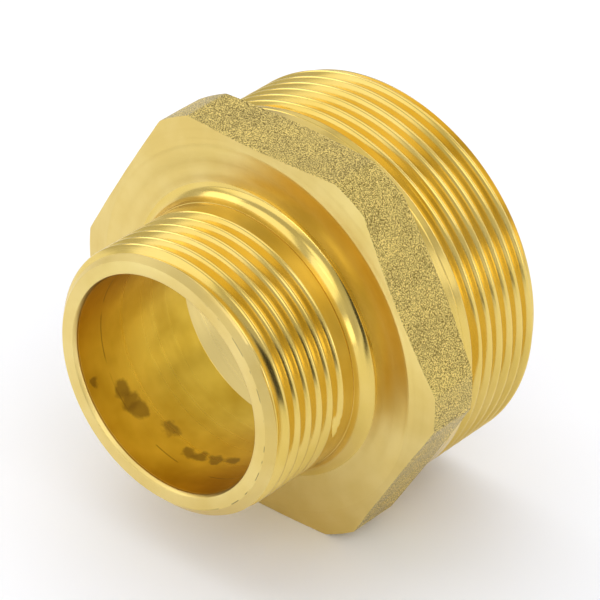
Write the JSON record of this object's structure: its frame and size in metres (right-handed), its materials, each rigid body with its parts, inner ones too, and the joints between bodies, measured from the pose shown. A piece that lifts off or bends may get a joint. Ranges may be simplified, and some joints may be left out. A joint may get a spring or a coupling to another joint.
{
  "type": "reducing hex nipple",
  "caption": "Brass reducing hex nipple with a male pipe thread on each side of a hexagon and a stepped bore right through it.",
  "frame": {"origin": "on the bore's axis, halfway between the two end faces", "axes": "+Y runs along the bore from the small thread to the large thread, +Z points straight out of one of the hexagon's flats, and +X points out through a hexagon corner"},
  "size_m": [0.066, 0.0486, 0.06],
  "materials": {
    "brass": "turned bright on the threads, bore and faces, grainy as forged on the hexagon's flats"
  },
  "bodies": {
    "root": {"nipple_body": "brass"}
  },
  "joints": []
}
